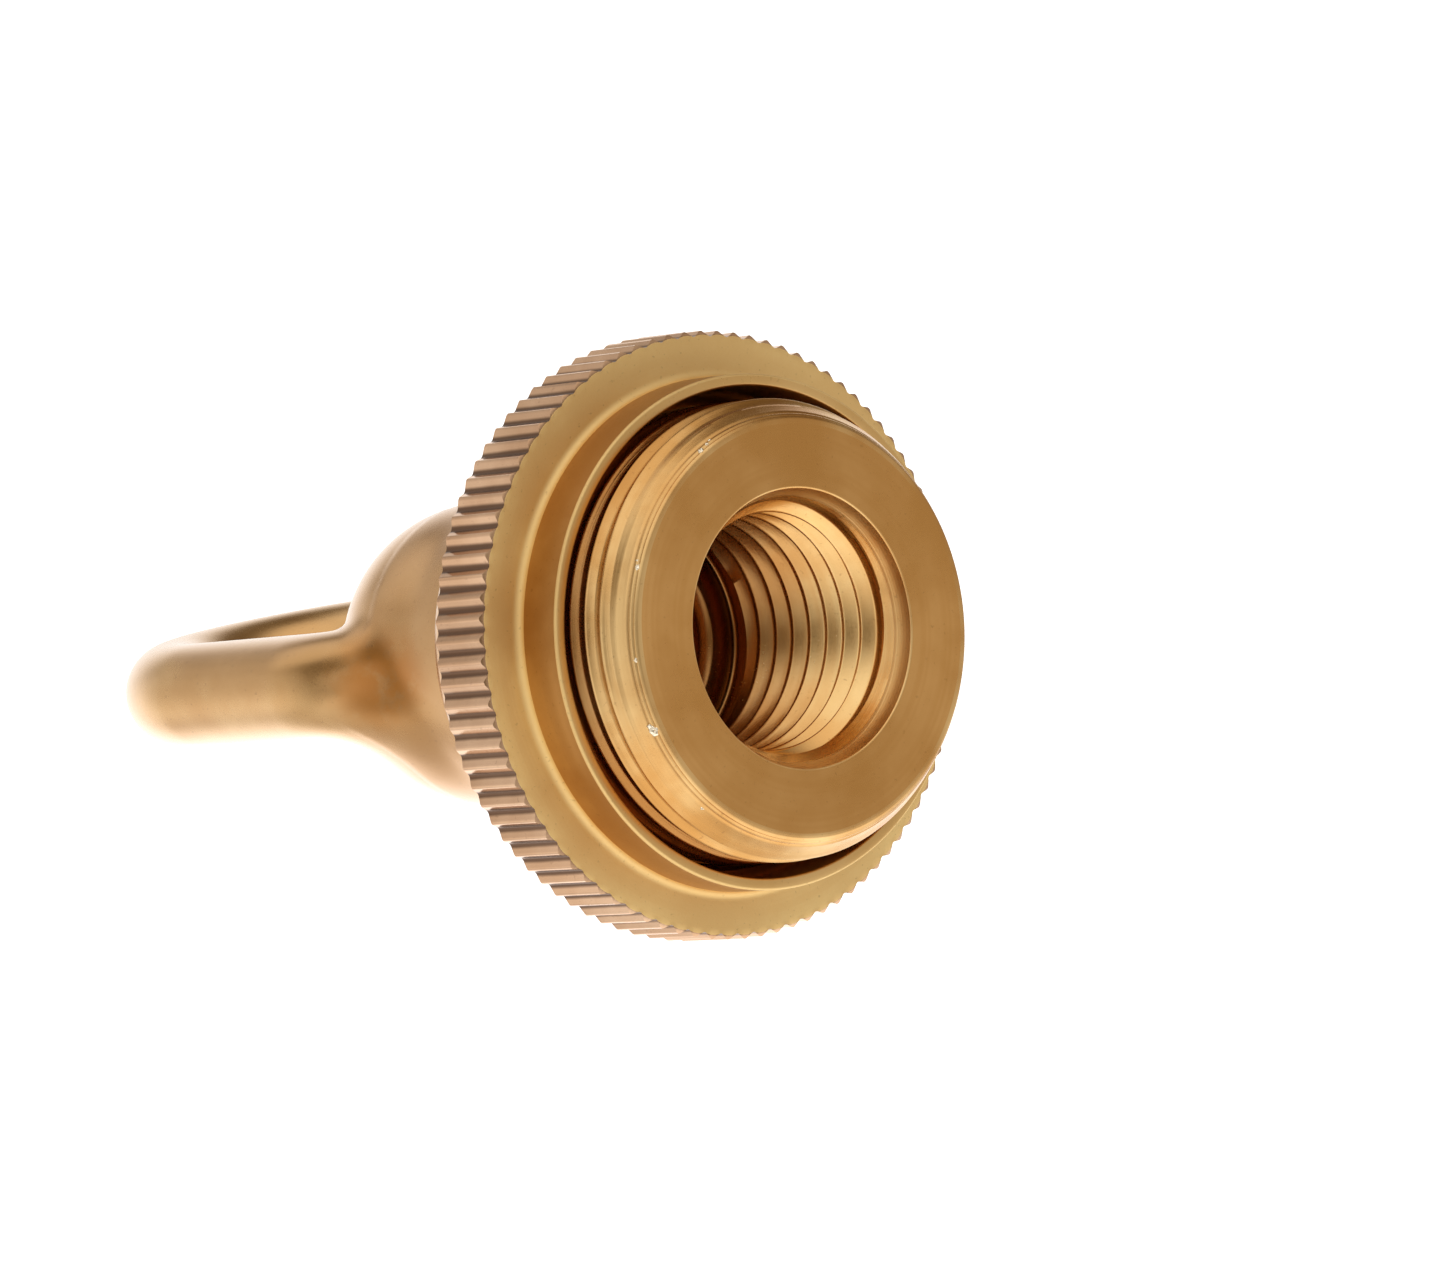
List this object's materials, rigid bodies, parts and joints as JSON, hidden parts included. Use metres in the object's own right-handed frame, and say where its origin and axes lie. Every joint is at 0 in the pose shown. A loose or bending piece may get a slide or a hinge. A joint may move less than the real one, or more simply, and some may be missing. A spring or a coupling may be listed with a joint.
{
  "type": "screw collar loop",
  "caption": "Threaded brass collar with a closed loop below it and a knurled seating ring that screws along the collar to hold a light's canopy.",
  "frame": {"origin": "centre of the collar's flat front face, on the screw axis", "axes": "+Z along the screw axis out of the collar's mouth, the loop hangs towards -Z, the loop lies in the XZ plane and its eye opens along Y"},
  "size_m": [0.0318, 0.0318, 0.053],
  "materials": {
    "cast_brass": "unlacquered satin brass, a casting with its face, bore and collar turned",
    "turned_brass": "unlacquered turned brass, bead-blasted flange with a straight-knurled edge"
  },
  "bodies": {
    "body": {"loop_body": "cast_brass"},
    "ring": {"knurled_ring": "turned_brass"}
  },
  "joints": [
    {"name": "ring_travel", "type": "slide", "parent": "body", "child": "ring", "axis": [0, 0, 1], "range_m": [-0.00381, 0.00508]}
  ]
}
